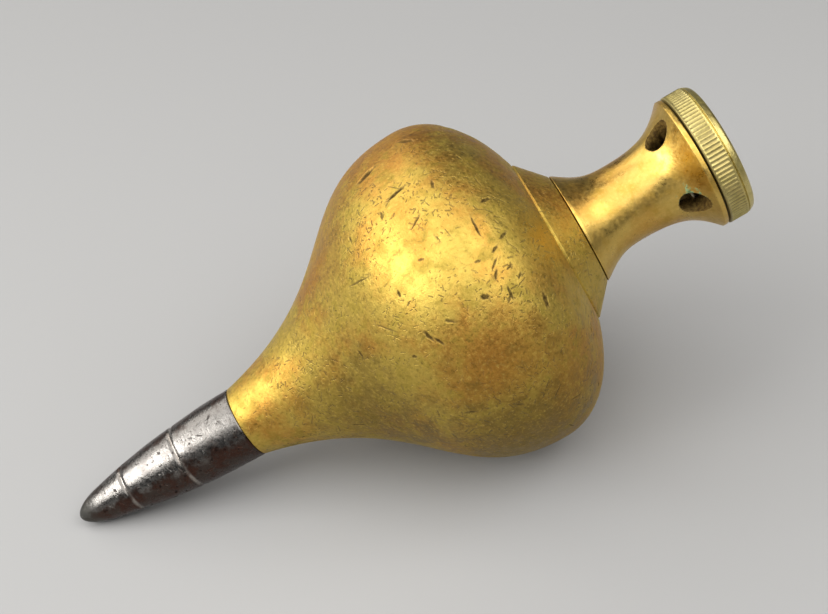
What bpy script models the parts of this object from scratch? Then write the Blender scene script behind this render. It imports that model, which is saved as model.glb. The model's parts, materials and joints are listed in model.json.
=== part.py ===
"""Turned brass plumb bob: a turnip-shaped body, a screwed steel point, a screwed neck and a knurled cord cap.

Every piece is turned about one axis. Heights along that axis are measured from the tip of the
steel point, radii from the axis. The pieces are drawn with the axis upright and tip down, then one
empty lays the whole bob on its side, resting on the tip of the point and on the belly.
"""
import math

import bpy

MM = 0.001
SEGMENTS = 48  # facets round the axis, turned half a step so that a flat one is underneath
GAP = 0.3 * MM  # clearance between two pieces that seat on each other

# heights above the tip
POINT_SEAT = 29.2 * MM  # steel meets brass
BELLY = 69.2 * MM  # widest place of the body
COLLAR_FOOT = 81.7 * MM  # the shoulder ends and the conical collar starts
NECK_SEAT = 85.6 * MM  # seam between the collar and the neck
WAIST = 93.2 * MM  # thinnest place of the neck
FLARE_END = 104.2 * MM  # end of the neck's trumpet, under its rim
NECK_TOP = 105.0 * MM
LENGTH = 110.0 * MM

# radii
POINT_RADIUS = 5.5 * MM
BELLY_RADIUS = 25.4 * MM
COLLAR_FOOT_RADIUS = 13.2 * MM
NECK_SEAT_RADIUS = 8.75 * MM
WAIST_RADIUS = 6.0 * MM
RIM_RADIUS = 10.2 * MM
KNURL_RADIUS = 10.3 * MM
CORD_HOLE_RADIUS = 1.2 * MM
SIDE_HOLE_RADIUS = 1.95 * MM

# the steel point
OGIVE_RADIUS = 108.0 * MM  # long arc of the point's flank
TIP_ROUND = 1.2 * MM  # height of the worn round end
SCORE_HEIGHTS = (9.5 * MM, 18.9 * MM)  # two scored rings
SCORE_DEPTH = 0.2 * MM
SCORE_WIDTH = 0.6 * MM

# screwed spigots and the sockets that they enter
SHANK_RADIUS = 3.1 * MM
SHANK_LENGTH = 11.1 * MM
NECK_SPIGOT_RADIUS = 4.85 * MM
NECK_SPIGOT_LENGTH = 11.1 * MM
CAP_SPIGOT_RADIUS = 4.85 * MM
CAP_SPIGOT_LENGTH = 2.7 * MM
CHAMFER = 0.4 * MM
DRILL_CONE = 1.2 * MM  # cone that a drill leaves at the bottom of a blind hole

# the knot chamber in the neck and the four side holes that open into it
CHAMBER_RADIUS = 4.2 * MM
CHAMBER_FLOOR = 96.8 * MM
SIDE_HOLE_HEIGHT = 101.5 * MM

# the tangent that the bob's lower side shares with the table, from the tip to the belly
REST_TILT = math.radians(20.34)


def bezier(start, start_handle, end_handle, end, steps):
    """Points of one cubic curve, its start left out."""
    points = []
    for i in range(1, steps + 1):
        t = i / steps
        weights = ((1 - t) ** 3, 3 * t * (1 - t) ** 2, 3 * t * t * (1 - t), t**3)
        corners = (start, start_handle, end_handle, end)
        points.append(tuple(sum(w * c[k] for w, c in zip(weights, corners)) for k in (0, 1)))
    return points


def along(point, slope, distance):
    """A handle: the place at a distance from (radius, height) on a line that gains slope of radius per height."""
    unit = math.hypot(1, slope)
    return (point[0] + slope * distance / unit, point[1] + distance / unit)


def drilled(radius, mouth, floor, opens_up):
    """A blind hole from its cone on the axis to its chamfered mouth, or the other way where it opens downward."""
    side = 1 if opens_up else -1
    hole = [
        (0, floor - side * DRILL_CONE),
        (radius, floor),
        (radius, mouth - side * CHAMFER),
        (radius + CHAMFER, mouth),
    ]
    return hole if opens_up else hole[::-1]


def spigot(radius, seat, length):
    """A plain spigot below its seat, from the seat to the axis."""
    end = seat - length
    return [(radius, seat), (radius, end + CHAMFER), (radius - CHAMFER, end), (0, end)]


def flank_radius(height):
    """Radius of the steel point's long arc at a height."""
    return POINT_RADIUS - OGIVE_RADIUS + math.sqrt(OGIVE_RADIUS**2 - (POINT_SEAT - height) ** 2)


def body_outline():
    seat = (POINT_RADIUS, POINT_SEAT)
    belly = (BELLY_RADIUS, BELLY)
    foot = (COLLAR_FOOT_RADIUS, COLLAR_FOOT)
    outline = drilled(NECK_SPIGOT_RADIUS + GAP, NECK_SEAT, NECK_SEAT - NECK_SPIGOT_LENGTH - 2 * GAP, True)
    outline += [(NECK_SEAT_RADIUS, NECK_SEAT), foot]
    outline += bezier(foot, along(foot, -3.13, -9.2 * MM), along(belly, 0, 4.8 * MM), belly, 10)
    outline += bezier(belly, along(belly, 0, -17.8 * MM), along(seat, 0.22, 24.8 * MM), seat, 14)
    outline += drilled(SHANK_RADIUS + GAP, POINT_SEAT, POINT_SEAT + SHANK_LENGTH + 2 * GAP, False)
    return outline


def point_outline():
    seat = POINT_SEAT - GAP
    shank_end = seat + SHANK_LENGTH
    outline = [
        (0, shank_end),
        (SHANK_RADIUS - CHAMFER, shank_end),
        (SHANK_RADIUS, shank_end - CHAMFER),
        (SHANK_RADIUS, seat),
    ]
    heights = [TIP_ROUND + (seat - TIP_ROUND) * i / 10 for i in range(11)]
    clear_of_scores = [h for h in heights if all(abs(h - s) > SCORE_WIDTH for s in SCORE_HEIGHTS)]
    flank = [(flank_radius(h), h) for h in clear_of_scores]
    for score in SCORE_HEIGHTS:
        flank += [(flank_radius(score + k * SCORE_WIDTH / 2), score + k * SCORE_WIDTH / 2) for k in (-1, 1)]
        flank.append((flank_radius(score) - SCORE_DEPTH, score))
    outline += sorted(flank, key=lambda p: -p[1])
    tip_radius = flank_radius(TIP_ROUND)
    for i in range(1, 5):
        angle = i / 4 * math.pi / 2
        outline.append((tip_radius * math.cos(angle), TIP_ROUND * (1 - math.sin(angle))))
    outline[-1] = (0, 0)
    return outline


def neck_outline():
    seat = NECK_SEAT + GAP
    foot = (NECK_SEAT_RADIUS, seat)
    waist = (WAIST_RADIUS, WAIST)
    flare = (RIM_RADIUS - 0.1 * MM, FLARE_END)
    bore = CAP_SPIGOT_RADIUS + GAP
    bore_floor = NECK_TOP - CAP_SPIGOT_LENGTH - GAP
    outline = [
        (0, CHAMBER_FLOOR - DRILL_CONE),
        (CHAMBER_RADIUS, CHAMBER_FLOOR),
        (CHAMBER_RADIUS, bore_floor),
        (bore, bore_floor),
        (bore, NECK_TOP - CHAMFER),
        (bore + CHAMFER, NECK_TOP),
        (RIM_RADIUS - 0.2 * MM, NECK_TOP),
        (RIM_RADIUS, NECK_TOP - 0.2 * MM),
        flare,
    ]
    outline += bezier(flare, along(flare, 1.07, -4.3 * MM), along(waist, 0, 6.1 * MM), waist, 9)
    outline += bezier(waist, along(waist, 0, -3.25 * MM), along(foot, -0.72, 3.5 * MM), foot, 6)
    outline += spigot(NECK_SPIGOT_RADIUS, seat, NECK_SPIGOT_LENGTH)
    return outline


def cap_outline():
    """A closed loop, because the cord hole goes right through."""
    seat = NECK_TOP + GAP
    spigot_end = seat - CAP_SPIGOT_LENGTH
    edge = 1.1 * MM  # rounding of the top edge
    outline = [(CORD_HOLE_RADIUS + CHAMFER, LENGTH)]
    for i in range(5):
        angle = i / 4 * math.pi / 2
        outline.append(
            (KNURL_RADIUS - edge * (1 - math.sin(angle)), LENGTH - edge * 0.8 * (1 - math.cos(angle)))
        )
    outline += [
        (KNURL_RADIUS, seat + CHAMFER),
        (KNURL_RADIUS - CHAMFER, seat),
        (CAP_SPIGOT_RADIUS, seat),
        (CAP_SPIGOT_RADIUS, spigot_end + CHAMFER),
        (CAP_SPIGOT_RADIUS - CHAMFER, spigot_end),
        (CORD_HOLE_RADIUS, spigot_end),
        (CORD_HOLE_RADIUS, LENGTH - CHAMFER),
    ]
    return outline


def metal(name, colour, roughness):
    material = bpy.data.materials.new(name)
    material.use_nodes = True
    shader = material.node_tree.nodes["Principled BSDF"]
    shader.inputs["Base Color"].default_value = (*colour, 1)
    shader.inputs["Metallic"].default_value = 1
    shader.inputs["Roughness"].default_value = roughness
    material.diffuse_color = (*colour, 1)
    return material


def turned(name, outline, seat, material, collection, parent):
    """A solid turned from an outline of (radius, height) about the bob's axis, with its origin on the axis at its seat."""
    mesh = bpy.data.meshes.new(name)
    closed = outline[0][0] > 0
    count = len(outline)
    edges = [(i, i + 1) for i in range(count - 1)] + ([(count - 1, 0)] if closed else [])
    mesh.from_pydata([(radius, 0, height - seat) for radius, height in outline], edges, [])
    mesh.materials.append(material)
    piece = bpy.data.objects.new(name, mesh)
    collection.objects.link(piece)
    piece.parent = parent
    piece.location = (0, 0, seat)
    piece.rotation_euler = (0, 0, math.pi / SEGMENTS)
    screw = piece.modifiers.new("turn", "SCREW")
    screw.axis = "Z"
    screw.angle = 2 * math.pi
    screw.steps = SEGMENTS
    screw.render_steps = SEGMENTS
    screw.use_merge_vertices = True
    screw.merge_threshold = 0.00001
    screw.use_smooth_shade = True
    return piece


def drill_side_holes(neck, cutters, parent):
    """Two crossed drillings through the flare, which make four side holes into the knot chamber."""
    for name, turn in (("side_drilling_a", 0), ("side_drilling_b", math.pi / 2)):
        bpy.ops.mesh.primitive_cylinder_add(vertices=20, radius=SIDE_HOLE_RADIUS, depth=3 * RIM_RADIUS)
        cutter = bpy.context.object
        cutter.name = name
        for collection in list(cutter.users_collection):
            collection.objects.unlink(cutter)
        cutters.objects.link(cutter)
        cutter.parent = parent
        cutter.location = (0, 0, SIDE_HOLE_HEIGHT)
        cutter.rotation_euler = (0, math.pi / 2, turn)
        cutter.hide_render = True
        cutter.display_type = "WIRE"
        cut = neck.modifiers.new(name, "BOOLEAN")
        cut.operation = "DIFFERENCE"
        cut.solver = "EXACT"
        cut.object = cutter


def lay_down(outlines):
    """An empty that tilts the bob onto its side, with the middle of its footprint at the origin.

    A facet faces straight down and another straight up, so the extremes are the facets' middles.
    """
    flat = math.cos(math.pi / SEGMENTS)
    across, up = math.cos(REST_TILT), math.sin(REST_TILT)
    points = [p for outline in outlines for p in outline]
    lowest = min(height * up - radius * flat * across for radius, height in points)
    left = min(height * across - radius * flat * up for radius, height in points)
    right = max(height * across + radius * flat * up for radius, height in points)
    empty = bpy.data.objects.new("bob_axis", None)
    empty.rotation_euler = (0, math.pi / 2 - REST_TILT, 0)
    empty.location = (-(left + right) / 2, 0, -lowest)
    return empty


def main():
    for old in list(bpy.data.objects):
        bpy.data.objects.remove(old, do_unlink=True)
    bob = bpy.data.collections.new("plumb_bob")
    cutters = bpy.data.collections.new("cutters")
    for collection in (bob, cutters):
        bpy.context.scene.collection.children.link(collection)

    brass = metal("aged_brass", (0.62, 0.42, 0.12), 0.38)
    neck_brass = metal("rubbed_brass", (0.66, 0.42, 0.16), 0.3)
    cap_brass = metal("pale_brass", (0.64, 0.5, 0.2), 0.36)
    steel = metal("browned_steel", (0.12, 0.09, 0.085), 0.32)

    outlines = [body_outline(), point_outline(), neck_outline(), cap_outline()]
    axis = lay_down(outlines)
    bob.objects.link(axis)
    body_profile, point_profile, neck_profile, cap_profile = outlines
    turned("bob_body", body_profile, BELLY, brass, bob, axis)
    turned("steel_point", point_profile, POINT_SEAT - GAP, steel, bob, axis)
    neck = turned("cord_neck", neck_profile, NECK_SEAT + GAP, neck_brass, bob, axis)
    turned("knurled_cap", cap_profile, NECK_TOP + GAP, cap_brass, bob, axis)
    drill_side_holes(neck, cutters, axis)


main()
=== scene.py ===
"""Looks of a turned brass plumb bob: a worn turnip body, a browned steel point, a flared neck and a
knurled cap.

Every piece is drawn again about the bob's own axis, with heights from the tip of the steel point, at
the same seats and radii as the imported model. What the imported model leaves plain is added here: the
screw threads, the knurl, the scored rings, rounded edges, and the dents and nicks of a long life.
"""
import json
import math

import bmesh
import bpy
import numpy as np
from mathutils import Matrix, Vector

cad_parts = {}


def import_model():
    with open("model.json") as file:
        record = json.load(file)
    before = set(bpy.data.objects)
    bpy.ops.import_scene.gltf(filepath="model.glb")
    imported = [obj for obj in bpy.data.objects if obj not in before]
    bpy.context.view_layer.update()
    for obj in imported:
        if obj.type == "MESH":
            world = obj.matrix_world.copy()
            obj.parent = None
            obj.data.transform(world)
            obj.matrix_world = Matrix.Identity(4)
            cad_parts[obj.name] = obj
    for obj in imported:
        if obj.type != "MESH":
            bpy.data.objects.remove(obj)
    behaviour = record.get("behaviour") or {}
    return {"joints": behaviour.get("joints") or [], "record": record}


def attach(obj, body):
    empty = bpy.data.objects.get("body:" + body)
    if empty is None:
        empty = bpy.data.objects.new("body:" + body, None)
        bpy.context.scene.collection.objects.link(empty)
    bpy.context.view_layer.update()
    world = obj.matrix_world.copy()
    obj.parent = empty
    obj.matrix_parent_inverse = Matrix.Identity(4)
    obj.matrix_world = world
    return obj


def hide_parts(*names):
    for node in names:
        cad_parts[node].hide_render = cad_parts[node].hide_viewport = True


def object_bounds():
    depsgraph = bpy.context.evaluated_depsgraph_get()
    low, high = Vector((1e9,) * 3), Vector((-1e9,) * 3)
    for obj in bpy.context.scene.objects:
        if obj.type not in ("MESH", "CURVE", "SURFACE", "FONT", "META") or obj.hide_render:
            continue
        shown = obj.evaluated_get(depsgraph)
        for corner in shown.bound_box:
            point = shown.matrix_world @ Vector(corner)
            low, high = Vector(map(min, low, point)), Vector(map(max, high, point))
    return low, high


MM = 0.001
TURN = 2 * math.pi

# heights above the tip, in millimetres
POINT_SEAT = 29.2
BELLY = 69.2
COLLAR_FOOT = 81.7
NECK_SEAT = 85.6
WAIST = 93.2
FLARE_END = 104.2
NECK_TOP = 105.0
LENGTH = 110.0
SIDE_HOLE_HEIGHT = 101.5
CHAMBER_FLOOR = 96.8

# radii, in millimetres
POINT_RADIUS = 5.5
BELLY_RADIUS = 25.4
COLLAR_FOOT_RADIUS = 13.2
NECK_SEAT_RADIUS = 8.75
WAIST_RADIUS = 6.0
RIM_RADIUS = 10.2
KNURL_RADIUS = 10.3
CORD_HOLE_RADIUS = 1.2
SIDE_HOLE_RADIUS = 1.95
CHAMBER_RADIUS = 4.2

# the steel point, in millimetres
OGIVE_RADIUS = 108.0  # of the long arc of its flank
NOSE_START = 4.6  # height at which the long arc of the point ends in its blunt nose
TIP_WEAR = 0.3  # how much of the tip is worn away
SCORE_HEIGHTS = (9.5, 18.9)
SCORE_DEPTH = 0.22
SCORE_HALF_WIDTH = 0.34

# spigots, sockets and their screw threads, in millimetres
SHANK_RADIUS = 3.1
SPIGOT_RADIUS = 4.85
SHANK_LENGTH = 11.1
CAP_SPIGOT_LENGTH = 2.7
SOCKET_CLEARANCE = 0.3
PITCH = 1.0
THREAD_DEPTH = 0.3
SOCKET_TURNS = 6  # turns of thread below a socket's mouth
MOUTH_CHAMFER = 0.5
SEAM = 0.14  # open seam between the collar and the neck
DRILL_CONE = 1.2  # depth of the cone that a drill leaves
DRILL_REACH = 20  # of a side drilling, to each side of the axis
END_GAP = 0.6  # between a spigot's end and its socket's floor

# the knurl, in millimetres
RIBS = 98
RIB_DEPTH = 0.14
RIB_FADE = 0.25  # length over which a rib runs out
KNURL_BAND = (105.48, 108.15)

# the outlines' curves: slope (radius per height) and reach of the handle at each end
SHOULDER_HANDLES = ((-3.13, -9.2), (0, 4.8))
NOSE_HANDLES = ((0, -17.8), (0.22, 24.8))
FLARE_HANDLES = ((1.07, -4.3), (0, 6.1))
FOOT_HANDLES = ((0, -3.25), (-0.72, 3.5))

# the V groove at the collar's foot: how far its edge and its bottom lie up the collar and below its skin
GROOVE_EDGE = (0.55, 0.05)
GROOVE_BOTTOM = (0.28, 0.42)

# rows (steps of an outline) and columns of the turned meshes
SHOULDER_STEPS = 46
BELLY_STEPS = 92
POINT_STEPS = 110
TIP_STEPS = 16
FLARE_STEPS = 56
FOOT_STEPS = 40
BAND_STEPS = 22
THREAD_STEPS = 8  # in each turn of a thread
BODY_COLUMNS = 336
SOCKET_COLUMNS = 84
POINT_COLUMNS = 192
NECK_COLUMNS = 256
BORE_COLUMNS = 64
CAP_COLUMNS = RIBS * 8
DRILL_COLUMNS = 64
SPIGOT_COLUMNS = (96, 96, 96)  # of its root, thread and end
NECK_SPIGOT_COLUMNS = (64, 128, 64)


# ---------------------------------------------------------------- outlines


def bezier(start, start_handle, end_handle, end, steps):
    """Points of one cubic curve, its start left out."""
    points = []
    for i in range(1, steps + 1):
        t = i / steps
        weights = ((1 - t) ** 3, 3 * t * (1 - t) ** 2, 3 * t * t * (1 - t), t**3)
        corners = (start, start_handle, end_handle, end)
        points.append(tuple(sum(w * c[k] for w, c in zip(weights, corners)) for k in (0, 1)))
    return points


def along(point, slope, distance):
    """The place at a distance from (radius, height) on a line that gains slope of radius per height."""
    unit = math.hypot(1, slope)
    return (point[0] + slope * distance / unit, point[1] + distance / unit)


def curve(start, end, handles, steps):
    """Points of the cubic curve between two places, from the slope and reach of its two handles."""
    first, last = handles
    return bezier(start, along(start, *first), along(end, *last), end, steps)


def rounded(corners, steps=4):
    """An outline from (radius, height) points, where a third number rounds that corner to its radius."""
    points = []
    for i, corner in enumerate(corners):
        if len(corner) < 3:
            points.append(corner)
            continue
        here = np.array(corner[:2])
        to_last = np.array(corners[i - 1][:2]) - here
        to_next = np.array(corners[i + 1][:2]) - here
        to_last /= np.linalg.norm(to_last)
        to_next /= np.linalg.norm(to_next)
        half = math.acos(np.clip(to_last @ to_next, -1, 1)) / 2
        reach = corner[2] / math.tan(half)
        for k in range(steps + 1):
            t = k / steps
            a = here + to_last * reach
            b = here + to_next * reach
            points.append(tuple((1 - t) ** 2 * a + 2 * t * (1 - t) * here + t * t * b))
    return points


def refined(points, step):
    """The outline with its long stretches divided, so that no stretch is longer than step."""
    result = [points[0]]
    for a, b in zip(points, points[1:]):
        count = max(1, math.ceil(math.dist(a, b) / step))
        result += [tuple(a[k] + (b[k] - a[k]) * i / count for k in (0, 1)) for i in range(1, count + 1)]
    return result


def flank_radius(height):
    """Radius of the steel point's long arc at a height."""
    return POINT_RADIUS - OGIVE_RADIUS + math.sqrt(OGIVE_RADIUS**2 - (POINT_SEAT - height) ** 2)


# ---------------------------------------------------------------- turned meshes


class Stretch:
    """A run of an outline with its own number of columns and its own relief."""

    def __init__(self, points, columns, relief=None):
        self.points = points
        self.columns = columns
        self.relief = relief


def thread(angle, height):
    """Relief of a rounded screw thread, cut into the material of a spigot or of a socket's wall."""
    wave = (height / PITCH - angle / TURN) % 1.0
    return -THREAD_DEPTH * (0.5 + 0.5 * np.cos(TURN * wave)) ** 0.8


def bridge(upper, lower):
    """Faces between two rings of vertices, whose counts are equal or one a multiple of the other."""
    if len(upper) == 1 and len(lower) == 1:
        return []
    if len(upper) == 1:
        n = len(lower)
        return [(upper[0], lower[j], lower[(j + 1) % n]) for j in range(n)]
    if len(lower) == 1:
        n = len(upper)
        return [(upper[j], lower[0], upper[(j + 1) % n]) for j in range(n)]
    if len(upper) == len(lower):
        n = len(upper)
        return [(upper[j], lower[j], lower[(j + 1) % n], upper[(j + 1) % n]) for j in range(n)]
    fine, coarse = (upper, lower) if len(upper) > len(lower) else (lower, upper)
    ratio = len(fine) // len(coarse)
    faces = []
    for j, corner in enumerate(coarse):
        next_corner = coarse[(j + 1) % len(coarse)]
        for k in range(ratio):
            a = fine[j * ratio + k]
            b = fine[(j * ratio + k + 1) % len(fine)]
            faces.append((a, corner if k < ratio // 2 else next_corner, b))
            if k == ratio // 2 - 1:
                faces.append((b, corner, next_corner))
    return faces if fine is upper else [face[::-1] for face in faces]


def turned(name, stretches, closed=False):
    """A mesh turned about Z from stretches of outline, drawn from the top down the outer side."""
    rings = []
    for stretch in stretches:
        points = np.array(stretch.points, float)
        for k, (radius, height) in enumerate(points):
            before = points[max(k - 1, 0)]
            after = points[min(k + 1, len(points) - 1)]
            run = after - before
            run /= max(np.linalg.norm(run), 1e-9)
            rings.append((radius, height, -run[1], run[0], stretch))
    vertices, indices = [], []
    count = 0
    for radius, height, normal_r, normal_z, stretch in rings:
        if radius < 1e-6:
            vertices.append(np.array([[0, 0, height]]))
            indices.append([count])
            count += 1
            continue
        angle = np.arange(stretch.columns) / stretch.columns * TURN
        push = stretch.relief(angle, height) if stretch.relief else np.zeros(stretch.columns)
        reach = radius + push * normal_r
        ring = np.stack([reach * np.cos(angle), reach * np.sin(angle), height + push * normal_z], 1)
        vertices.append(ring)
        indices.append(list(range(count, count + stretch.columns)))
        count += stretch.columns
    faces = []
    pairs = list(zip(indices, indices[1:]))
    if closed:
        pairs.append((indices[-1], indices[0]))
    for upper, lower in pairs:
        faces += bridge(upper, lower)
    mesh = bpy.data.meshes.new(name)
    mesh.from_pydata((np.concatenate(vertices) * MM).tolist(), [], faces)
    mesh.validate()
    mesh.shade_smooth()
    return mesh


def body_outline():
    """Outer skin of the body, from the lip of its collar down to the seat of the point."""
    seat = (POINT_RADIUS, POINT_SEAT)
    belly = (BELLY_RADIUS, BELLY)
    foot = (COLLAR_FOOT_RADIUS, COLLAR_FOOT)
    top = (NECK_SEAT_RADIUS, NECK_SEAT)
    collar_run = np.array(foot) - np.array(top)
    collar_run /= np.linalg.norm(collar_run)
    collar_out = np.array([-collar_run[1], collar_run[0]])
    edge, groove = (
        np.array(foot) - up * collar_run - below * collar_out for up, below in (GROOVE_EDGE, GROOVE_BOTTOM)
    )
    shoulder = curve(foot, belly, SHOULDER_HANDLES, SHOULDER_STEPS)
    nose = curve(belly, seat, NOSE_HANDLES, BELLY_STEPS)
    collar = rounded(
        [
            (SPIGOT_RADIUS + SOCKET_CLEARANCE + MOUTH_CHAMFER, NECK_SEAT),
            (*top, 0.22),
            (*edge, 0.12),
            (*groove, 0.06),
            (*foot, 0.14),
            shoulder[2],
        ]
    )[:-1]
    skin = refined(collar, 0.5) + shoulder[2:] + nose[:-1]
    mouth = (SHANK_RADIUS + SOCKET_CLEARANCE + MOUTH_CHAMFER, POINT_SEAT)
    return skin + rounded([nose[-2], (*seat, 0.18), mouth])[1:]


def socket(radius, mouth, floor, opens_up):
    """Stretches of a threaded blind hole, in the order that the body's outline passes through them."""
    side = 1 if opens_up else -1
    wall = radius + SOCKET_CLEARANCE
    threaded = SOCKET_TURNS * PITCH
    plain = [(0, floor - side * DRILL_CONE), (wall, floor), (wall, mouth - side * (threaded + 0.2))]
    count = int(threaded / PITCH * THREAD_STEPS)
    cut = [(wall - 0.05, mouth - side * (0.45 + threaded * k / count)) for k in range(count + 1)]
    lip = [(wall + 0.05, mouth - side * 0.35), (wall + 0.38, mouth - side * 0.04)]
    stretches = [
        Stretch(plain, SOCKET_COLUMNS),
        Stretch(cut[::-1], SOCKET_COLUMNS, thread),
        Stretch(lip, SOCKET_COLUMNS),
    ]
    if opens_up:
        return stretches
    return [Stretch(s.points[::-1], s.columns, s.relief) for s in reversed(stretches)]


def body_mesh():
    """The body: its skin between two threaded sockets."""
    upper = socket(SPIGOT_RADIUS, NECK_SEAT, NECK_SEAT - SHANK_LENGTH - END_GAP, True)
    lower = socket(SHANK_RADIUS, POINT_SEAT, POINT_SEAT + SHANK_LENGTH + END_GAP, False)
    return turned("bob_body_worn", [*upper, Stretch(body_outline(), BODY_COLUMNS), *lower])


def spigot(radius, seat, length, columns=SPIGOT_COLUMNS):
    """Stretches of a threaded spigot below its seat, with a relieved root and a rounded end."""
    threaded = length - 1.0
    count = int(threaded / PITCH * THREAD_STEPS)
    root = rounded([(radius - 0.25, seat), (radius - 0.25, seat - 0.5)])
    cut = [(radius, seat - 0.6 - threaded * k / count) for k in range(count + 1)]
    low = seat - length
    end = rounded([(radius - 0.1, low + 0.35), (radius - 0.5, low, 0.1), (0, low)])
    return [Stretch(root, columns[0]), Stretch(cut, columns[1], thread), Stretch(end, columns[2])]


def point_mesh():
    """The steel point: a threaded shank above its seat, the scored ogive and the blunt tip."""
    seat = POINT_SEAT - 0.02
    shank = spigot(SHANK_RADIUS, 0, SHANK_LENGTH)
    above = [
        Stretch([(r, seat - h) for r, h in reversed(s.points)], s.columns, s.relief) for s in reversed(shank)
    ]
    flank = []
    for height in np.linspace(seat - 0.15, NOSE_START, POINT_STEPS):
        radius = flank_radius(height)
        for score in SCORE_HEIGHTS:
            apart = abs(height - score) / SCORE_HALF_WIDTH
            radius -= SCORE_DEPTH * max(0.0, 1 - apart**1.5)
        flank.append((radius, height))
    start = flank[-1]
    flank += bezier(start, along(start, 0.2, -2.1), (1.15, TIP_WEAR), (0, TIP_WEAR), TIP_STEPS)
    face = [(SHANK_RADIUS - 0.2, seat), (POINT_RADIUS - 0.2, seat), (POINT_RADIUS - 0.05, seat - 0.05)]
    return turned("steel_point_browned", [*above, Stretch(face + flank, POINT_COLUMNS)])


def neck_outline():
    """The neck's skin from the end of its flare down to its foot."""
    foot = (NECK_SEAT_RADIUS - 0.05, NECK_SEAT + SEAM + 0.2)
    waist = (WAIST_RADIUS, WAIST)
    flare = (RIM_RADIUS - 0.1, FLARE_END)
    return curve(flare, waist, FLARE_HANDLES, FLARE_STEPS) + curve(waist, foot, FOOT_HANDLES, FOOT_STEPS)


def neck_mesh():
    """The trumpet-shaped neck: its rim, flare and waist, its threaded spigot, and the knot chamber."""
    seat = NECK_SEAT + SEAM
    outer = neck_outline()
    bore = SPIGOT_RADIUS + SOCKET_CLEARANCE
    bore_floor = NECK_TOP - CAP_SPIGOT_LENGTH - 0.3
    inside = [
        (0, CHAMBER_FLOOR - DRILL_CONE),
        (CHAMBER_RADIUS, CHAMBER_FLOOR),
        (CHAMBER_RADIUS, bore_floor),
        (bore, bore_floor),
    ]
    threaded = 2.0
    count = 18
    cut = [(bore - 0.05, bore_floor + 0.2 + threaded * k / count) for k in range(count + 1)]
    rim = rounded(
        [
            (bore + 0.3, NECK_TOP),
            (RIM_RADIUS, NECK_TOP, 0.18),
            (RIM_RADIUS, NECK_TOP - 0.7, 0.2),
            (RIM_RADIUS - 0.22, FLARE_END - 0.12),
        ]
    )
    hem = rounded([outer[-2], (NECK_SEAT_RADIUS, seat, 0.12), (SPIGOT_RADIUS + 0.2, seat)])[1:]
    stretches = [
        Stretch(refined(inside, 0.8), BORE_COLUMNS),
        Stretch(cut, BORE_COLUMNS, thread),
        Stretch(rim, NECK_COLUMNS),
        Stretch(outer[1:-1], NECK_COLUMNS),
        Stretch(hem, NECK_COLUMNS),
        *spigot(SPIGOT_RADIUS, seat, SHANK_LENGTH, NECK_SPIGOT_COLUMNS),
    ]
    return turned("cord_neck_worn", stretches)


def cap_mesh():
    """The cap: a knurled disc with a turned fillet, a rounded top edge, a cord hole and a threaded spigot."""
    seat = NECK_TOP + 0.3
    end = seat - CAP_SPIGOT_LENGTH
    low, high = KNURL_BAND

    def knurl(angle, height):
        wave = np.abs(((angle / TURN * RIBS) % 1.0) * 2 - 1)
        fade = np.clip(min(height - low, high - height) / RIB_FADE, 0, 1)
        return -RIB_DEPTH * fade * (1 - wave) ** 0.7

    top = rounded(
        [
            (CORD_HOLE_RADIUS, LENGTH - 0.5),
            (CORD_HOLE_RADIUS + 0.1, LENGTH, 0.35),
            (KNURL_RADIUS - 4.6, LENGTH, 3.0),
            (KNURL_RADIUS - 0.6, LENGTH - 0.5, 1.1),
            (KNURL_RADIUS - 0.06, high + 0.32, 0.05),
            (KNURL_RADIUS - 0.26, high + 0.19, 0.05),
            (KNURL_RADIUS - 0.02, high + 0.05),
        ],
        8,
    )
    band = [(KNURL_RADIUS, high - (high - low) * k / BAND_STEPS) for k in range(BAND_STEPS + 1)]
    under = rounded(
        [
            (KNURL_RADIUS, low - 0.04),
            (KNURL_RADIUS - 0.05, seat, 0.18),
            (SPIGOT_RADIUS + 0.3, seat),
            (SPIGOT_RADIUS - 0.2, seat - 0.02),
        ]
    )
    threaded = 1.8
    count = 14
    cut = [(SPIGOT_RADIUS, seat - 0.4 - threaded * k / count) for k in range(count + 1)]
    inner = [
        (SPIGOT_RADIUS - 0.3, end + 0.15),
        (SPIGOT_RADIUS - 0.5, end),
        (CORD_HOLE_RADIUS + 0.15, end),
        (CORD_HOLE_RADIUS, end + 0.2),
    ]
    stretches = [
        Stretch(top, CAP_COLUMNS),
        Stretch(band, CAP_COLUMNS, knurl),
        Stretch(under, CAP_COLUMNS),
        Stretch(cut, RIBS, thread),
        Stretch(inner, RIBS),
    ]
    return turned("knurled_cap_worn", stretches, closed=True)


# ---------------------------------------------------------------- dents and nicks

NICK_WIDTH = 2.0  # a mark narrower than this is a nick, with grime in it, and a wider one is a soft dent
LIP_HEIGHT = 0.08  # of the metal pushed up round a nick, as a share of its depth


class Mark:
    """A dent or gouge: its centre on the skin, the way it runs, and its size, in millimetres."""

    def __init__(self, centre, outward, run, length, width, depth):
        self.centre = centre
        self.outward = outward
        self.run = run
        self.side = np.cross(outward, run)
        self.length = length
        self.width = width
        self.depth = depth
        self.phase = (centre @ (1.7, 2.9, 0.8)) % TURN

    def reach(self):
        """How far from its centre the mesh is divided for it."""
        return max(self.length, self.width) * 0.5 + 0.35

    def ellipse(self, places):
        """How far places are from the mark's centre, 1 at its edge."""
        away = places - self.centre
        u = away @ self.run / (self.length / 2)
        v = away @ self.side / (self.width / 2)
        far = np.abs(away @ self.outward) > 3 * max(self.depth, 0.5)
        turn = np.arctan2(v, u)
        ragged = 1 + 0.16 * np.sin(2 * turn + self.phase) + 0.12 * np.sin(5 * turn - 2 * self.phase)
        return np.where(far, 9.0, np.hypot(u, v) * ragged)


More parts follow.
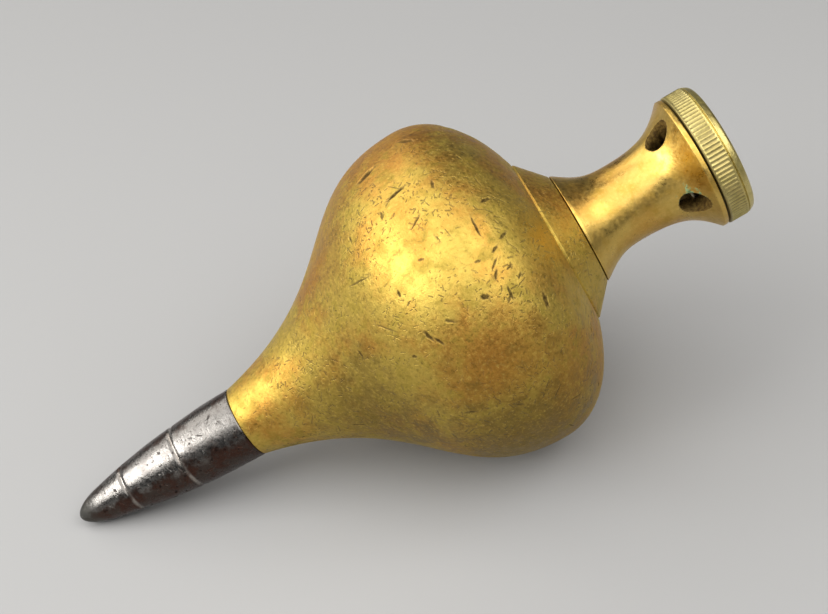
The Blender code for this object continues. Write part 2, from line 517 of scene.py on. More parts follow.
class Skin:
    """The outer outline of a turned piece, to find places and directions on it."""

    def __init__(self, points):
        self.points = np.array(sorted(points, key=lambda p: p[1]))

    def radius(self, height):
        return np.interp(height, self.points[:, 1], self.points[:, 0])

    def mark(self, height, angle, slant, length, width, depth):
        """A mark at a height and an angle round from the top, its run slanted from the axis, in degrees."""
        turn = math.radians(180 + angle)
        radial = np.array([math.cos(turn), math.sin(turn), 0])
        around = np.array([-math.sin(turn), math.cos(turn), 0])
        slope = (self.radius(height + 0.2) - self.radius(height - 0.2)) / 0.4
        upward = radial * slope + np.array([0, 0, 1])
        upward /= np.linalg.norm(upward)
        outward = np.cross(around, upward)
        lean = math.radians(slant)
        run = upward * math.cos(lean) + around * math.sin(lean)
        centre = radial * self.radius(height) + np.array([0, 0, height])
        return Mark(centre, outward, run, length, width, depth)


def store_darkening(mesh, amounts):
    """Gives each vertex its darkening, 0 to 1, which the materials read: grime in nicks, painted shade inside
    the neck, and the darker grooves and underside of the cap.
    """
    layer = mesh.attributes.new("darkening", "FLOAT", "POINT")
    layer.data.foreach_set("value", np.asarray(amounts, np.float32))


def vertex_places(mesh):
    """The vertices' places in millimetres, and their distances from the axis."""
    places = np.array([v.co for v in mesh.vertices]) / MM
    return places, np.hypot(places[:, 0], places[:, 1])


def wear(mesh, skin, marks, span, cuts):
    """Presses marks into a turned mesh, between the two heights of span.

    The skin is divided finely round each nick and drawn back to its outline first. Each vertex gets grime
    by how deep in a nick it lies.
    """
    bm = bmesh.new()
    bm.from_mesh(mesh)
    bm.verts.ensure_lookup_table()
    places = np.array([v.co for v in bm.verts]) / MM
    low, high = span
    outside = (places[:, 2] > low) & (places[:, 2] < high)
    outside &= np.hypot(places[:, 0], places[:, 1]) > skin.radius(places[:, 2]) - 0.25
    near = np.zeros(len(places), bool)
    for mark in marks:
        if mark.width < NICK_WIDTH:
            near |= np.linalg.norm(places - mark.centre, axis=1) < mark.reach()
    near &= outside
    edges = [e for e in bm.edges if near[e.verts[0].index] and near[e.verts[1].index]]
    before = len(bm.verts)
    bmesh.ops.subdivide_edges(bm, edges=edges, cuts=cuts, use_grid_fill=True)
    bm.verts.ensure_lookup_table()
    places = np.array([v.co for v in bm.verts]) / MM
    fresh = np.arange(len(places)) >= before
    outside = np.concatenate([outside, np.ones(len(places) - before, bool)])
    distance = np.hypot(places[:, 0], places[:, 1])
    scale = skin.radius(places[:, 2]) / np.maximum(distance, 1e-6)
    drawn = fresh & (np.abs(scale - 1) < 0.05)
    places[drawn, :2] *= scale[drawn, None]
    darkening = np.zeros(len(places))
    lean = np.zeros((len(places), 3))
    for mark in marks:
        ring = mark.ellipse(places)
        bowl = np.clip(1 - ring**2, 0, 1)
        lip = 0
        if mark.width < NICK_WIDTH:
            lip = LIP_HEIGHT * np.exp(-(((ring - 1.2) / 0.25) ** 2))
            dark = np.clip(0.45 + mark.depth * 4, 0, 1)
            darkening = np.maximum(darkening, np.clip((1.2 - ring) * 1.8, 0, dark) * outside)
        lean += np.outer((lip - bowl) * mark.depth * outside, mark.outward)
    places += lean
    for vertex, place in zip(bm.verts, places * MM):
        vertex.co = place
    bm.to_mesh(mesh)
    bm.free()
    store_darkening(mesh, darkening)
    mesh.shade_smooth()


# ---------------------------------------------------------------- materials


class Shader:
    """A material's node tree, with short calls for the nodes used here. Lengths in it are millimetres."""

    def __init__(self, name, matrix):
        self.material = bpy.data.materials.new(name)
        self.material.use_nodes = True
        self.tree = self.material.node_tree
        self.surface = self.tree.nodes["Principled BSDF"]
        # place is in the bob's own frame; wander, height, around and radial come from it
        coordinates = self.tree.nodes.new("ShaderNodeTexCoord")
        mapping = self.tree.nodes.new("ShaderNodeMapping")
        mapping.vector_type = "TEXTURE"
        turn = tuple(matrix.to_euler())
        sockets = {"Location": tuple(matrix.translation), "Rotation": turn, "Scale": (MM, MM, MM)}
        self.place = self.put(mapping, {"Vector": coordinates.outputs["Object"], **sockets}).outputs[0]
        ripple = self.tree.nodes.new("ShaderNodeTexNoise")
        sockets = {"Vector": self.place, "Scale": 2.5, "Detail": 3.0, "Roughness": 0.6}
        self.wander = self.put(ripple, sockets).outputs["Color"]
        split = self.tree.nodes.new("ShaderNodeSeparateXYZ")
        self.height = self.put(split, {0: self.place}).outputs[2]
        self.around = self.vector("LENGTH", self.vector("MULTIPLY", self.place, (1, 1, 0)))
        self.radial = self.vector("NORMALIZE", self.vector("MULTIPLY", self.place, (1, 1, 0)))

    def put(self, node, sockets):
        """Fills a node's inputs: another node's output is linked, and anything else is a plain value."""
        for key, value in sockets.items():
            if isinstance(value, bpy.types.NodeSocket):
                self.tree.links.new(value, node.inputs[key])
            else:
                node.inputs[key].default_value = value
        return node

    def vector(self, operation, a, b=None, scale=None):
        node = self.tree.nodes.new("ShaderNodeVectorMath")
        node.operation = operation
        sockets = {0: a}
        if b is not None:
            sockets[1] = b
        if scale is not None:
            sockets["Scale"] = scale
        self.put(node, sockets)
        return node.outputs["Value" if operation in ("DOT_PRODUCT", "LENGTH") else "Vector"]

    def math(self, operation, a, b=0.0, clamp=False):
        node = self.tree.nodes.new("ShaderNodeMath")
        node.operation = operation
        node.use_clamp = clamp
        return self.put(node, {0: a, 1: b}).outputs[0]

    def band(self, value, low, high, to_low=0.0, to_high=1.0):
        """The value mapped smoothly from low..high to to_low..to_high."""
        node = self.tree.nodes.new("ShaderNodeMapRange")
        node.interpolation_type = "SMOOTHSTEP"
        sockets = {"Value": value, "From Min": low, "From Max": high, "To Min": to_low, "To Max": to_high}
        return self.put(node, sockets).outputs["Result"]

    def noise(self, size, detail=4.0, roughness=0.55, offset=(0, 0, 0), distortion=0.0):
        """Noise with features of about size millimetres."""
        place = self.vector("ADD", self.place, offset)
        node = self.tree.nodes.new("ShaderNodeTexNoise")
        sockets = {"Vector": place, "Scale": 1 / size, "Detail": detail, "Roughness": roughness}
        return self.put(node, {**sockets, "Distortion": distortion}).outputs["Fac"]

    def turning(self, size):
        """Fine rings left by the lathe, about size millimetres apart."""
        join = self.tree.nodes.new("ShaderNodeCombineXYZ")
        place = self.put(join, {0: self.around, 1: self.height}).outputs[0]
        node = self.tree.nodes.new("ShaderNodeTexNoise")
        sockets = {"Vector": place, "Scale": 1 / size, "Detail": 3.0, "Roughness": 0.6}
        return self.put(node, sockets).outputs["Fac"]

    def mix(self, amount, a, b):
        """The colour a with that amount of b."""
        node = self.tree.nodes.new("ShaderNodeMix")
        node.data_type = "RGBA"
        a = a if isinstance(a, bpy.types.NodeSocket) else (*a, 1)
        b = b if isinstance(b, bpy.types.NodeSocket) else (*b, 1)
        self.put(node, {0: amount, 6: a, 7: b})
        return node.outputs[2]

    def cells(self, place, spacing):
        """Random cells of the size spacing, and the channels of each cell's random colour."""
        node = self.tree.nodes.new("ShaderNodeTexVoronoi")
        self.put(node, {"Vector": place, "Scale": 1 / spacing, "Randomness": 1.0})
        split = self.tree.nodes.new("ShaderNodeSeparateColor")
        return node, self.put(split, {"Color": node.outputs["Color"]})

    def pits(self, spacing, radius, share, offset=(0, 0, 0)):
        """Round pits, one in each random cell of the size spacing, in that share of the cells."""
        node, split = self.cells(self.vector("ADD", self.place, offset), spacing)
        chosen = self.math("LESS_THAN", split.outputs[0], share)
        size = self.math("MULTIPLY", split.outputs[1], radius / spacing)
        shape = self.band(self.math("DIVIDE", node.outputs["Distance"], size), 0.4, 1.2, 1.0, 0.0)
        return self.math("MULTIPLY", shape, chosen)

    def along_skin(self, vector):
        """The vector without its part away from the axis."""
        away = self.vector("DOT_PRODUCT", vector, self.radial)
        return self.vector("SUBTRACT", vector, self.vector("SCALE", self.radial, scale=away))

    def scratches(self, spacing, length, width, share, offset=(0, 0, 0)):
        """Short straight nicks, one in each random cell, each running its own way."""
        wander = self.vector("SUBTRACT", self.wander, (0.5, 0.5, 0.5))
        place = self.vector("ADD", self.place, self.vector("SCALE", wander, scale=2.2 * width))
        place = self.vector("ADD", place, offset)
        node, split = self.cells(place, spacing)
        local = self.along_skin(self.vector("SUBTRACT", place, node.outputs["Position"]))
        run = self.vector("SUBTRACT", node.outputs["Color"], (0.5, 0.5, 0.5))
        run = self.vector("NORMALIZE", self.along_skin(run))
        reach = self.vector("DOT_PRODUCT", local, run)
        across = self.vector("LENGTH", self.vector("SUBTRACT", local, self.vector("SCALE", run, scale=reach)))
        chosen = self.math("LESS_THAN", split.outputs[0], share)
        thin = self.band(across, width * 0.35, width, 1.0, 0.0)
        short = self.band(self.math("ABSOLUTE", reach), length * 0.35, length * 0.5, 1.0, 0.0)
        return self.math("MULTIPLY", self.math("MULTIPLY", thin, short), chosen)

    def attribute(self, name):
        node = self.tree.nodes.new("ShaderNodeAttribute")
        node.attribute_name = name
        return node.outputs["Fac"]

    def bump(self, height, distance, below=None):
        """Relief of that distance in millimetres, on top of the relief below."""
        node = self.tree.nodes.new("ShaderNodeBump")
        self.put(node, {"Height": height, "Distance": distance * MM, "Strength": 1.0})
        if below is not None:
            self.tree.links.new(below, node.inputs["Normal"])
        return node.outputs["Normal"]

    def finish(self, colour, roughness, normal, metallic=1.0, specular=0.5):
        sockets = {"Base Color": colour, "Roughness": roughness, "Metallic": metallic}
        self.put(self.surface, {**sockets, "Specular IOR Level": specular, "Normal": normal})
        return self.material


def shaded(colour, shade):
    """A colour times a number, or times one number for each channel."""
    shades = shade if isinstance(shade, tuple) else (shade,) * 3
    return tuple(c * k for c, k in zip(colour, shades))


# tint of grime in nicks, and of the painted shade inside the neck
GRIME_AND_PAINTED_SHADE = (0.09, 0.075, 0.09)
DARK_VERDIGRIS = (0.08, 0.13, 0.05)
PALE_VERDIGRIS = (0.24, 0.36, 0.18)


def brass(name, matrix, gold, brown, olive, roughness, nicks, clouds=(), verdigris=None, turning=0.012):
    """Aged brass: mottled gold, brown and olive, with dark grime in its pits, nicks and dents, and painted
    shade where a mesh stores it.

    nicks is how worn it is, 0 to 1. Each cloud is a centre, radius, colour and amount, and verdigris is a
    centre and radius. turning is the depth of the lathe's rings.
    """
    s = Shader(name, matrix)
    broad = s.noise(12, 5, 0.6, offset=(3.1, 0.4, 7.7))
    middle = s.noise(2.6, 6, 0.65, offset=(1.3, 9.2, 2.5), distortion=0.4)
    fine = s.noise(0.5, 5, 0.7)
    colour = s.mix(s.band(broad, 0.44, 0.64, 0.0, 0.8), gold, brown)
    colour = s.mix(s.band(middle, 0.46, 0.68, 0.0, 0.7), colour, olive)
    for centre, radius, shade, amount in clouds:
        away = s.vector("LENGTH", s.vector("SUBTRACT", s.place, centre))
        away = s.math("ADD", away, s.band(middle, 0.3, 0.7, -0.3 * radius, 0.3 * radius))
        colour = s.mix(s.band(away, radius * 0.25, radius * 1.15, amount, 0.0), colour, shade)
    pale = tuple(min(1.0, c * 1.25 + 0.02) for c in gold)
    colour = s.mix(s.band(fine, 0.5, 0.7, 0.0, 0.45), colour, pale)
    colour = s.mix(s.band(fine, 0.47, 0.32, 0.0, 0.15 + 0.35 * nicks), colour, shaded(olive, 0.45))
    patch = s.band(s.noise(7, 3, 0.5, offset=(5, 5, 1)), 0.38, 0.6, 0.15, 1.0)
    pits = s.math("MAXIMUM", s.pits(1.3, 0.3, 0.4), s.pits(0.7, 0.17, 0.4, (4, 2, 9)))
    lines = s.math("MAXIMUM", s.scratches(1.3, 0.9, 0.14, 0.4), s.scratches(0.8, 0.5, 0.11, 0.4, (7, 1, 3)))
    lines = s.math("MAXIMUM", lines, s.scratches(3.2, 1.9, 0.12, 0.25, (2, 8, 5)))
    nick = s.math("MULTIPLY", s.math("MAXIMUM", pits, lines), patch)
    nick = s.math("MULTIPLY", nick, nicks, clamp=True)
    # the stored darkening is grime in the body's nicks, painted shade inside the neck, and the darker grooves
    # and underside of the cap
    caked_and_shaded = s.math("MULTIPLY", s.attribute("darkening"), s.band(fine, 0.35, 0.65, 1.0, 0.8))
    darkening = s.math("MAXIMUM", s.math("MULTIPLY", nick, 0.55), caked_and_shaded)
    colour = s.mix(darkening, colour, shaded(gold, GRIME_AND_PAINTED_SHADE))
    rough = s.band(middle, 0.3, 0.75, roughness - 0.07, roughness + 0.12)
    rough = s.math("ADD", rough, s.band(fine, 0.3, 0.7, -0.05, 0.06))
    rough = s.math("MAXIMUM", rough, s.math("MULTIPLY", darkening, 0.85), clamp=True)
    metallic = s.math("SUBTRACT", 1.0, s.math("MULTIPLY", darkening, 0.85), clamp=True)
    if verdigris:
        centre, radius = verdigris
        away = s.vector("LENGTH", s.vector("SUBTRACT", s.place, centre))
        bloom = s.math("ADD", away, s.band(s.noise(0.9, 4, 0.6), 0.3, 0.7, -1.1, 1.1))
        green = s.band(bloom, radius * 0.55, radius, 1.0, 0.0)
        crust = s.mix(s.band(fine, 0.4, 0.6), DARK_VERDIGRIS, PALE_VERDIGRIS)
        colour = s.mix(green, colour, crust)
        rough = s.math("MAXIMUM", rough, s.math("MULTIPLY", green, 0.85))
        metallic = s.math("SUBTRACT", metallic, s.math("MULTIPLY", green, 0.8), clamp=True)
    normal = s.bump(s.turning(0.3), turning)
    normal = s.bump(s.noise(1.1, 5, 0.6, offset=(8, 8, 8)), 0.03 + 0.03 * nicks, below=normal)
    normal = s.bump(fine, 0.01 + 0.02 * nicks, below=normal)
    normal = s.bump(s.math("MULTIPLY", nick, -1.0), 0.035, below=normal)
    return s.finish(colour, rough, normal, metallic, s.band(darkening, 0.0, 1.0, 0.5, 0.1))


PAINTED_HIGHLIGHT_SIDE = (-0.9, -0.43, 0)  # the direction from the axis of the side that faces the lights, where a highlight is painted into the steel's colour
BROWNED = (0.06, 0.045, 0.038)
# colour of the highlight painted on the side that faces the lights
PAINTED_HIGHLIGHT_STEEL = (0.2, 0.19, 0.178)
RUST = (0.06, 0.03, 0.022)
PALE_SPECKS = (0.15, 0.125, 0.11)
DARK_SPECKS = (0.03, 0.018, 0.014)
SCORED_STEEL = (0.3, 0.27, 0.24)
TIP_GREY = (0.07, 0.07, 0.06)
STEEL_GRIME = (0.02, 0.012, 0.01)


def steel(name, matrix):
    """Browned steel: near black with rusty clouds, a highlight painted along the side that faces the lights,
    pitted and finely scratched.
    """
    s = Shader(name, matrix)
    clouds = s.noise(2.2, 6, 0.7, offset=(2, 7, 1))
    fine = s.noise(0.45, 5, 0.7, offset=(6, 1, 3))
    # painted highlight: the side that faces the lights is coloured bright steel, and rust is kept off it
    highlight_side = s.vector("DOT_PRODUCT", s.radial, PAINTED_HIGHLIGHT_SIDE)
    highlight_side = s.math("ADD", highlight_side, s.band(clouds, 0.3, 0.7, 0.12, -0.12))
    colour = s.mix(s.band(highlight_side, 0.68, 0.95), BROWNED, PAINTED_HIGHLIGHT_STEEL)
    rust = s.math("MULTIPLY", s.band(clouds, 0.42, 0.58), s.band(highlight_side, 0.6, 0.9, 1.0, 0.05))
    colour = s.mix(rust, colour, RUST)
    colour = s.mix(s.band(fine, 0.56, 0.72, 0.0, 0.4), colour, PALE_SPECKS)
    colour = s.mix(s.band(fine, 0.45, 0.32, 0.0, 0.7), colour, DARK_SPECKS)
    rings = []
    for score in SCORE_HEIGHTS:
        apart = s.math("ABSOLUTE", s.math("SUBTRACT", s.height, score))
        rings.append(s.band(apart, 0.1, 0.42, 1.0, 0.0))
    worn = s.band(s.noise(2.0, 2), 0.35, 0.6, 0.2, 0.9)
    colour = s.mix(s.math("MULTIPLY", s.math("MAXIMUM", *rings), worn), colour, SCORED_STEEL)
    tip = s.band(s.height, 1.0, 5.0, 0.8, 0.0)
    colour = s.mix(tip, colour, TIP_GREY)
    pits = s.math("MAXIMUM", s.pits(1.2, 0.3, 0.5), s.pits(0.6, 0.16, 0.4, (3, 3, 3)))
    lines = s.math("MAXIMUM", s.scratches(1.8, 1.2, 0.08, 0.4), s.scratches(3.0, 2.6, 0.08, 0.4, (1, 5, 2)))
    darkening = s.math("MAXIMUM", s.math("MULTIPLY", pits, 0.7), s.math("MULTIPLY", s.attribute("darkening"), 0.8))
    colour = s.mix(darkening, colour, STEEL_GRIME)
    rough = s.band(clouds, 0.35, 0.7, 0.2, 0.32)
    rough = s.math("ADD", rough, s.band(fine, 0.3, 0.7, -0.04, 0.1))
    rough = s.math("ADD", rough, s.math("MULTIPLY", s.math("MAXIMUM", darkening, tip), 0.25), clamp=True)
    normal = s.bump(s.turning(0.25), 0.012)
    normal = s.bump(s.noise(0.9, 5, 0.6, offset=(1, 2, 3)), 0.045, below=normal)
    normal = s.bump(fine, 0.02, below=normal)
    normal = s.bump(s.math("MULTIPLY", s.math("MAXIMUM", pits, lines), -1.0), 0.05, below=normal)
    return s.finish(colour, rough, normal)


# ---------------------------------------------------------------- the pieces


def bob_matrix(frame):
    """The bob's own frame, from its tip along its axis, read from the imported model's cord hole and joints."""
    axis = Vector(frame["joints"][0]["axis"]).normalized()
    cap_top = Vector(next(m["pos_m"] for m in frame["record"]["mounts"] if m["name"] == "cord_hole"))
    across = Vector((0, 1, 0))
    down = across.cross(axis)
    turn = Matrix((down, across, axis)).transposed().to_4x4()
    return Matrix.Translation(cap_top - axis * LENGTH * MM) @ turn


def piece(mesh, material, matrix, body, node):
    """Adds a mesh, moved from the bob's own frame to the model's, as the piece that stands for a CAD node."""
    obj = bpy.data.objects.new(mesh.name, mesh)
    bpy.context.scene.collection.objects.link(obj)
    mesh.materials.clear()
    mesh.materials.append(material)
    mesh.transform(matrix)
    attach(obj, body)
    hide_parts(node)


def drill_side_holes(mesh):
    """The mesh with two crossed drillings through its flare, which make four side holes."""
    obj = bpy.data.objects.new("drilled", mesh)
    bpy.context.scene.collection.objects.link(obj)
    cutters = []
    reach = DRILL_REACH
    outline = [(0, reach), (SIDE_HOLE_RADIUS, reach), (SIDE_HOLE_RADIUS, -reach), (0, -reach)]
    for turn in (0, math.pi / 2):
        cutter = bpy.data.objects.new("drill", turned("drill", [Stretch(outline, DRILL_COLUMNS)]))
        bpy.context.scene.collection.objects.link(cutter)
        place = Matrix.Translation((0, 0, SIDE_HOLE_HEIGHT * MM))
        cutter.matrix_world = place @ Matrix.Rotation(turn, 4, "Z") @ Matrix.Rotation(math.pi / 2, 4, "Y")
        cut = obj.modifiers.new("side_hole", "BOOLEAN")
        cut.operation = "DIFFERENCE"
        cut.solver = "EXACT"
        cut.object = cutter
        cutters.append(cutter)
    bpy.context.view_layer.update()
    depsgraph = bpy.context.evaluated_depsgraph_get()
    drilled = bpy.data.meshes.new_from_object(obj.evaluated_get(depsgraph))
    drilled.name = mesh.name
    for used in (obj, *cutters):
        bpy.data.objects.remove(used, do_unlink=True)
    return drilled


def worn_marks(skin, seed, count, heights, sizes, angles=(0, 360)):
    """Nicks scattered round a piece, from a fixed seed."""
    rng = np.random.default_rng(seed)
    marks = []
    for _ in range(count):
        height = rng.uniform(*heights)
        length = rng.uniform(*sizes)
        width = rng.uniform(0.2, 0.4)
        depth = rng.uniform(0.05, 0.12)
        marks.append(skin.mark(height, rng.uniform(*angles), rng.uniform(0, 180), length, width, depth))
    return marks


def soft_dents(skin, seed, count, heights, depth):
    """Wide shallow dents, which break up the highlights."""
    rng = np.random.default_rng(seed)
    dents = []
    for _ in range(count):
        size = rng.uniform(3.5, 9.0)
        where = (rng.uniform(*heights), rng.uniform(0, 360), rng.uniform(0, 180))
        dents.append(skin.mark(*where, size, size * rng.uniform(0.6, 1.0), depth * rng.uniform(0.5, 1.0)))
    return dents


# the larger marks: height, angle round from the top, slant from the axis, length, width, depth
BODY_MARKS = [
    (63.6, -8, -18, 3.4, 1.2, 0.28),
    (66.3, 9, -13, 2.9, 0.65, 0.16),
    (66.9, 22, -32, 2.2, 0.32, 0.1),
    (70.7, -13, 35, 2.6, 1.1, 0.12),
    (71.2, 13, 100, 1.3, 0.55, 0.12),
    (63.3, 13, 100, 1.2, 0.4, 0.1),
    (57.9, 10, 98, 1.1, 0.4, 0.1),
    (75.9, 3, 55, 1.2, 0.5, 0.14),
    (73.4, 32, 93, 2.6, 0.42, 0.12),
    (75.9, 38, -19, 1.9, 0.38, 0.1),
    (74.1, 41, -26, 1.5, 0.34, 0.1),
    (73.1, 45, -35, 1.7, 0.34, 0.1),
    (72.6, 48, -52, 1.8, 0.32, 0.1),
    (73.0, 55, 94, 2.2, 0.36, 0.12),
    (72.7, 56, 130, 1.4, 0.3, 0.1),
    (76.2, 24, -18, 1.8, 0.6, 0.14),
    (76.5, 64, 99, 2.0, 0.95, 0.2),
    (69.9, 52, 44, 1.3, 0.7, 0.14),
    (56.2, 25, 18, 3.8, 0.3, 0.1),
    (60.4, 38, 93, 0.9, 0.45, 0.12),
    (56.5, 45, 41, 3.4, 0.26, 0.08),
    (61.0, 54, 66, 1.9, 0.6, 0.2),
    (61.9, 57, 60, 1.5, 0.5, 0.16),
    (51.2, 48, 91, 1.2, 0.45, 0.12),
    (57.9, 58, 35, 0.9, 0.45, 0.12),
    (64.4, 53, 34, 1.4, 0.45, 0.12),
    (68.4, 30, 70, 0.9, 0.3, 0.08),
    (65.2, 33, 20, 1.0, 0.3, 0.08),
    (74.6, 48, -20, 1.2, 0.3, 0.08),
    (75.2, 52, -35, 1.3, 0.3, 0.08),
    (71.4, 42, 10, 1.0, 0.28, 0.08),
]


GOLD = (0.52, 0.37, 0.075)
ORANGE = (0.47, 0.22, 0.04)
UMBER = (0.2, 0.13, 0.028)
OLIVE = (0.32, 0.24, 0.04)
NECK_COLOURS = ((0.63, 0.43, 0.11), (0.56, 0.3, 0.06), (0.5, 0.31, 0.05))
CAP_COLOURS = ((0.62, 0.52, 0.2), (0.5, 0.38, 0.12), (0.44, 0.37, 0.11))
VERDIGRIS = ((-1.4, -8.2, SIDE_HOLE_HEIGHT - 0.3), 1.9)  # at the edge of one side hole

# clouds of patina on the body, and of painted shade on its lower side towards the camera: height, angle round
# from the top, radius, colour, amount
PATINA_AND_PAINTED_SHADE = [
    (66, -30, 14, ORANGE, 0.75),
    (52, -12, 10, ORANGE, 0.5),
    (68, 72, 9, ORANGE, 0.7),
    (80, 42, 9, GOLD, 0.75),
    # painted shade: the next two umber clouds darken the lower side seen from the camera
    (64, 112, 18, UMBER, 0.9),
    (48, 85, 12, UMBER, 0.7),
    (66, 200, 16, ORANGE, 0.5),
    (78, 262, 10, UMBER, 0.5),
]


def body_piece(matrix):
    """The body, with the marks seen in front, scattered ones elsewhere, clouds of patina, and umber clouds of
    painted shade on its lower side.
    """
    skin = Skin(body_outline())
    clouds = []
    for height, angle, radius, shade, amount in PATINA_AND_PAINTED_SHADE:
        centre = skin.mark(height, angle, 0, 1, 1, 1).centre
        clouds.append((tuple(centre), radius, shade, amount))
    material = brass("aged_brass", matrix, GOLD, ORANGE, OLIVE, roughness=0.49, nicks=1.0, clouds=clouds)
    mesh = body_mesh()
    marks = [skin.mark(*mark) for mark in BODY_MARKS]
    marks += worn_marks(skin, seed=11, count=55, heights=(38, 80), sizes=(0.8, 2.4), angles=(80, 330))
    marks += soft_dents(skin, seed=5, count=26, heights=(40, 79), depth=0.09)
    wear(mesh, skin, marks, span=(POINT_SEAT + 0.5, COLLAR_FOOT - 0.6), cuts=3)
    piece(mesh, material, matrix, "body", "bob_body")


def point_piece(matrix):
    """The steel point, with scattered marks and dents."""
    mesh = point_mesh()
    skin = Skin([(flank_radius(h), h) for h in np.linspace(NOSE_START, POINT_SEAT, 60)])
    marks = worn_marks(skin, seed=3, count=22, heights=(6, 28), sizes=(0.5, 1.4))
    marks += soft_dents(skin, seed=8, count=8, heights=(8, 26), depth=0.06)
    wear(mesh, skin, marks, span=(NOSE_START, POINT_SEAT - 0.6), cuts=2)
    piece(mesh, steel("browned_steel", matrix), matrix, "point", "steel_point")


def neck_piece(matrix):
    """The neck, with painted shade in its knot chamber, its upper socket and the walls of its side holes."""
    material = brass("rubbed_brass", matrix, *NECK_COLOURS, roughness=0.35, nicks=0.1, verdigris=VERDIGRIS)
    mesh = drill_side_holes(neck_mesh())
    places, around = vertex_places(mesh)
    heights = places[:, 2]
    inside = (around < Skin(neck_outline()).radius(heights) - 0.3) & (heights > CHAMBER_FLOOR - 1.5)
    for across in (0, 1):
        from_drill = np.hypot(places[:, across], heights - SIDE_HOLE_HEIGHT)
        inside |= (from_drill < SIDE_HOLE_RADIUS + 0.05) & (around > 3)
    # painted shade: the chamber, the socket and the walls of the side holes are darkened
    store_darkening(mesh, inside)
    piece(mesh, material, matrix, "neck", "cord_neck")


def cap_piece(matrix):
    """The cap, darkened between its ribs and under its disc."""
    material = brass("pale_brass", matrix, *CAP_COLOURS, roughness=0.36, nicks=0.2, turning=0.03)
    mesh = cap_mesh()
    places, around = vertex_places(mesh)
    heights = places[:, 2]
    low, high = KNURL_BAND
    deep = np.clip((KNURL_RADIUS - around) / RIB_DEPTH, 0, 1) * ((heights > low) & (heights < high))
    under = (heights < NECK_TOP + 0.5) & (around > SPIGOT_RADIUS)
    store_darkening(mesh, 0.6 * np.maximum(deep, under))
    piece(mesh, material, matrix, "cap", "knurled_cap")


# ---------------------------------------------------------------- the stage


BACKDROP = (0.5, 0.5, 0.49)
FLOOR_COLOUR = (0.31, 0.31, 0.31)
FLOOR_REACH = 6.0
FLOOR_FADE = (0.3, 0.9)  # how far from the bob the floor starts and ends its fade into the backdrop
WORLD_COLOUR = (0.8, 0.82, 0.85)
WORLD_STRENGTH = 0.14

# area lights: name, azimuth and elevation in degrees, distance and sides in metres, power in watts, colour
LIGHTS = [
    ("key_light", -152, 70, 0.5, (0.9, 0.75), 4.7, (1.0, 0.985, 0.96)),
    ("low_light", -92, 31, 0.6, (0.5, 0.2), 3.0, (1.0, 0.99, 0.97)),
    ("side_light", 118, 46, 0.6, (0.5, 0.4), 1.6, (1.0, 0.985, 0.96)),
    ("back_light", -34, 36, 0.9, (0.8, 0.5), 3.2, (1.0, 0.97, 0.93)),
]

CAMERA_AZIMUTH, CAMERA_ELEVATION, CAMERA_ROLL = 16.0, 43.0, -4.4
CAMERA_DISTANCE = 0.196
CAMERA_AIM = (0.0128, -0.0108, -0.0073)  # from the middle of the CAD box
LENS = 58.7
LENS_SHIFT = (-0.121, 0.075)


def mixed(tree, amount, first, second, output):
    """Sends the mix of two shaders to an output node."""
    chooser = tree.nodes.new("ShaderNodeMixShader")
    for k, source in enumerate((amount, first, second)):
        tree.links.new(source, chooser.inputs[k])
    tree.links.new(chooser.outputs[0], tree.nodes[output].inputs["Surface"])


def floor():
    """A wide pale floor, which the camera sees fading into the backdrop away from the bob."""
    mesh = bpy.data.meshes.new("studio_floor")
    bm = bmesh.new()
    bmesh.ops.create_grid(bm, x_segments=2, y_segments=2, size=FLOOR_REACH)
    bm.to_mesh(mesh)
    bm.free()
    obj = bpy.data.objects.new("studio_floor", mesh)
    bpy.context.scene.collection.objects.link(obj)
    material = bpy.data.materials.new("pale_floor")
    material.use_nodes = True
    tree = material.node_tree
    shader = tree.nodes["Principled BSDF"]
    haze = tree.nodes.new("ShaderNodeEmission")
    haze.inputs["Color"].default_value = (*BACKDROP, 1)
    coordinates = tree.nodes.new("ShaderNodeTexCoord")
    distance = tree.nodes.new("ShaderNodeVectorMath")
    distance.operation = "LENGTH"
    fade = tree.nodes.new("ShaderNodeMapRange")
    fade.interpolation_type = "SMOOTHSTEP"
    fade.inputs["From Min"].default_value, fade.inputs["From Max"].default_value = FLOOR_FADE
    path = tree.nodes.new("ShaderNodeLightPath")
    seen = tree.nodes.new("ShaderNodeMath")
    seen.operation = "MULTIPLY"
    tree.links.new(coordinates.outputs["Object"], distance.inputs[0])
    tree.links.new(distance.outputs["Value"], fade.inputs["Value"])
    tree.links.new(fade.outputs["Result"], seen.inputs[0])
    tree.links.new(path.outputs["Is Camera Ray"], seen.inputs[1])
    mixed(tree, seen.outputs[0], shader.outputs[0], haze.outputs[0], "Material Output")
    shader.inputs["Base Color"].default_value = (*FLOOR_COLOUR, 1)
    shader.inputs["Roughness"].default_value = 0.8
    shader.inputs["Specular IOR Level"].default_value = 0.2
    mesh.materials.append(material)


def direction(azimuth, elevation):
    """The unit vector of two angles in degrees. Azimuth 0 is towards +Y and 90 towards +X."""
    a, e = math.radians(azimuth), math.radians(elevation)
    return Vector((math.sin(a) * math.cos(e), math.cos(a) * math.cos(e), math.sin(e)))


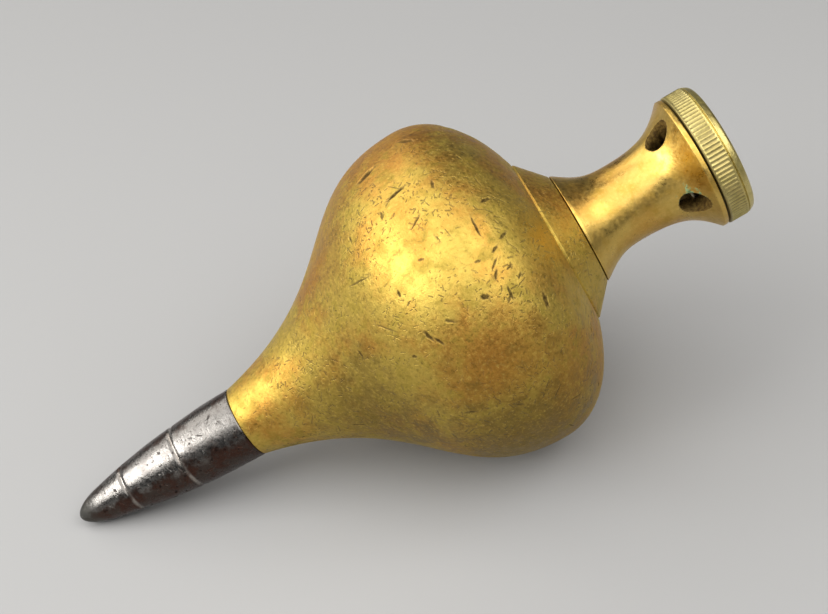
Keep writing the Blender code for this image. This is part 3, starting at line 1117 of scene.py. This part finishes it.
def soft_light(target, name, azimuth, elevation, distance, sides, power, colour):
    """An area light that faces target."""
    light = bpy.data.lights.new(name, "AREA")
    light.shape = "RECTANGLE"
    light.size, light.size_y = sides
    light.energy = power
    light.color = colour
    obj = bpy.data.objects.new(name, light)
    out = direction(azimuth, elevation)
    obj.location = target + out * distance
    obj.rotation_euler = out.to_track_quat("Z", "Y").to_euler()
    bpy.context.scene.collection.objects.link(obj)


def studio(centre):
    """The floor, the lights, and a dim world that the camera sees as a plain backdrop."""
    floor()
    for light in LIGHTS:
        soft_light(centre, *light)
    world = bpy.data.worlds.new("studio")
    world.use_nodes = True
    tree = world.node_tree
    background = tree.nodes["Background"]
    background.inputs["Color"].default_value = (*WORLD_COLOUR, 1)
    background.inputs["Strength"].default_value = WORLD_STRENGTH
    backdrop = tree.nodes.new("ShaderNodeBackground")
    backdrop.inputs["Color"].default_value = (*BACKDROP, 1)
    backdrop.inputs["Strength"].default_value = 1.0
    path = tree.nodes.new("ShaderNodeLightPath")
    mixed(tree, path.outputs["Is Camera Ray"], background.outputs[0], backdrop.outputs[0], "World Output")
    bpy.context.scene.world = world
    bpy.context.scene.view_settings.view_transform = "Standard"


def camera(target):
    """A close camera above the bob's side, turned a little towards its cap."""
    forward = direction(CAMERA_AZIMUTH, -CAMERA_ELEVATION)
    data = bpy.data.cameras.new("camera")
    data.lens = LENS
    data.sensor_width = 36
    data.shift_x, data.shift_y = LENS_SHIFT
    data.clip_start = 0.01
    roll = Matrix.Rotation(math.radians(CAMERA_ROLL), 3, "Z").to_quaternion()
    obj = bpy.data.objects.new("camera", data)
    obj.rotation_mode = "QUATERNION"
    obj.rotation_quaternion = (-forward).to_track_quat("Z", "Y") @ roll
    obj.location = target - forward * CAMERA_DISTANCE
    bpy.context.scene.collection.objects.link(obj)
    bpy.context.scene.camera = obj


def main():
    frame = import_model()
    cad_low, cad_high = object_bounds()
    centre = (cad_low + cad_high) / 2
    matrix = bob_matrix(frame)
    body_piece(matrix)
    point_piece(matrix)
    neck_piece(matrix)
    cap_piece(matrix)
    studio(centre)
    camera(centre + Vector(CAMERA_AIM))


main()
